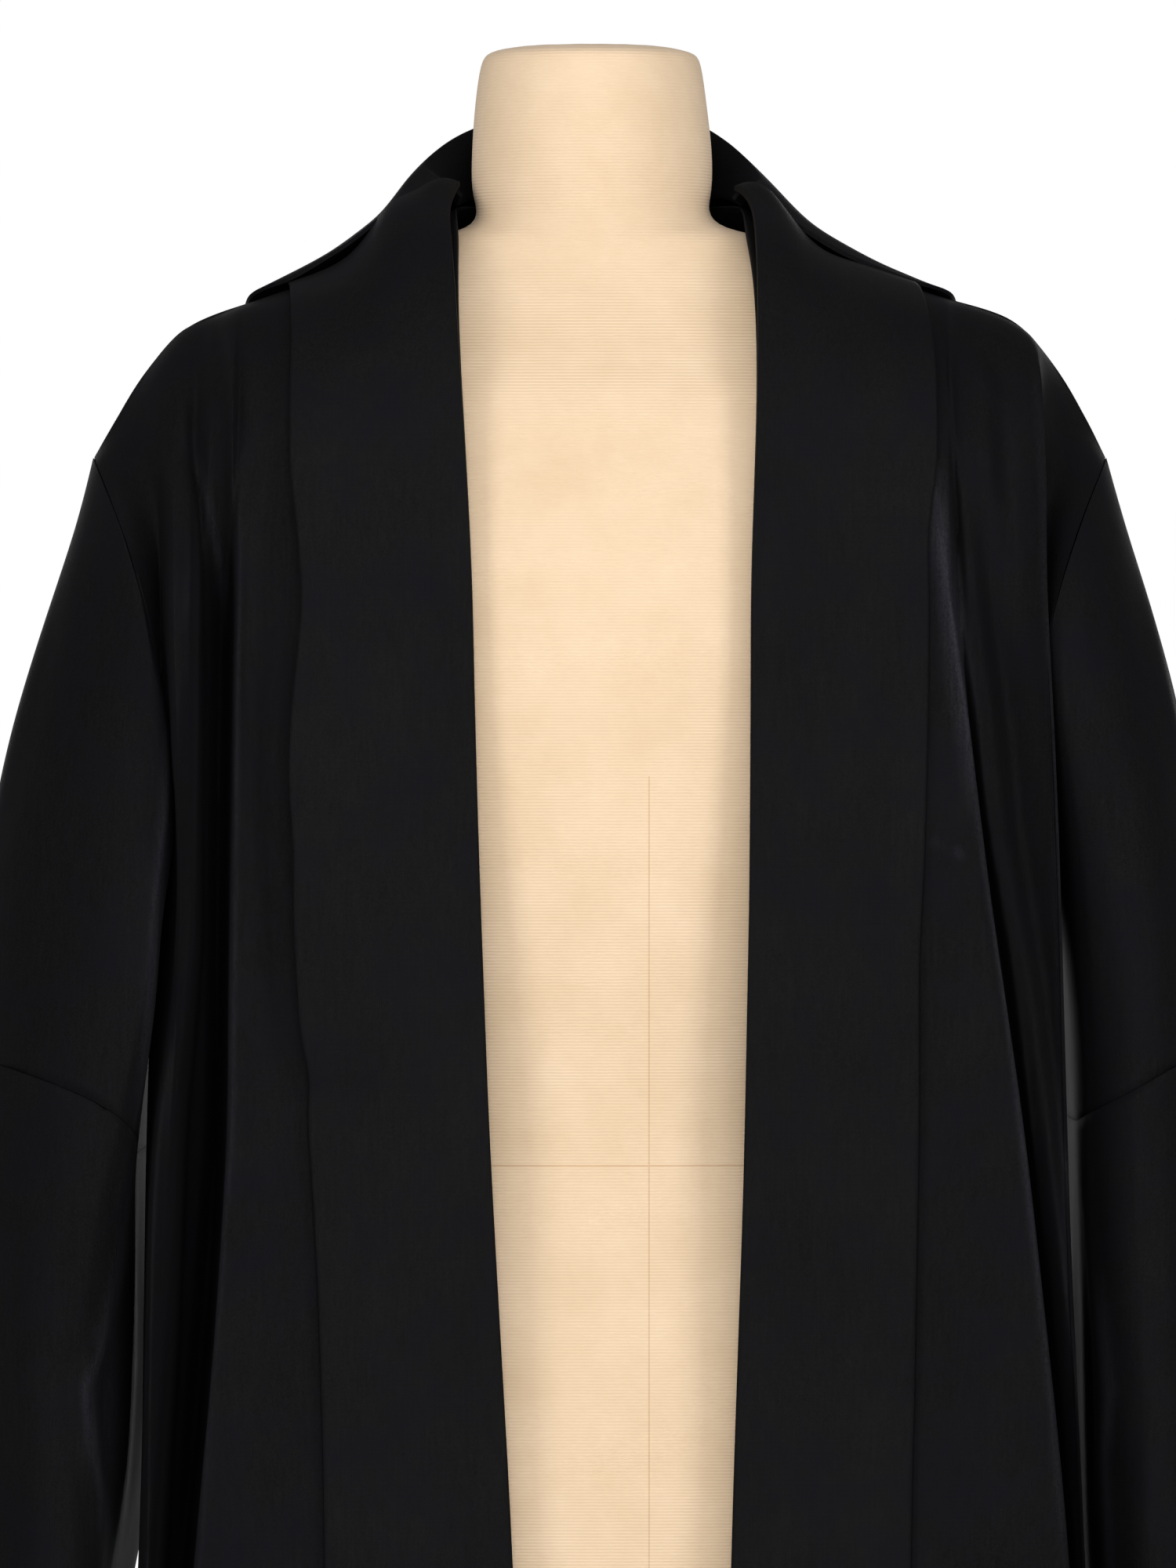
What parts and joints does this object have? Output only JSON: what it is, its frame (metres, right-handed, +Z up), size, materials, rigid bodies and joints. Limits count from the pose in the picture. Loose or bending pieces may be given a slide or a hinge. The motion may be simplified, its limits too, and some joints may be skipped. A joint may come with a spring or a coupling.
{
  "type": "judge gown on a dress form",
  "caption": "Open black judge gown with wide turned-back bands, flap collar and hanging sleeves, on an armless dress form with a round stand.",
  "frame": {"origin": "on the floor, at the centre of the stand base's flat underside", "axes": "+Z up, the open front of the gown faces -Y, +X is to the right in the picture"},
  "size_m": [0.67, 0.38, 1.5705],
  "materials": {
    "gown_cloth": "fine plain weave with a soft lustre",
    "form_jersey": "fine ribbed jersey",
    "stand_steel": "satin"
  },
  "bodies": {
    "root": {"front_left": "gown_cloth", "front_right": "gown_cloth", "back": "gown_cloth", "revers_left": "gown_cloth", "revers_right": "gown_cloth", "collar_back": "gown_cloth", "sleeve_upper_left": "gown_cloth", "sleeve_upper_right": "gown_cloth", "sleeve_lower_left": "gown_cloth", "sleeve_lower_right": "gown_cloth", "form_torso": "form_jersey", "stand_pole": "stand_steel", "stand_base": "stand_steel"}
  },
  "joints": []
}
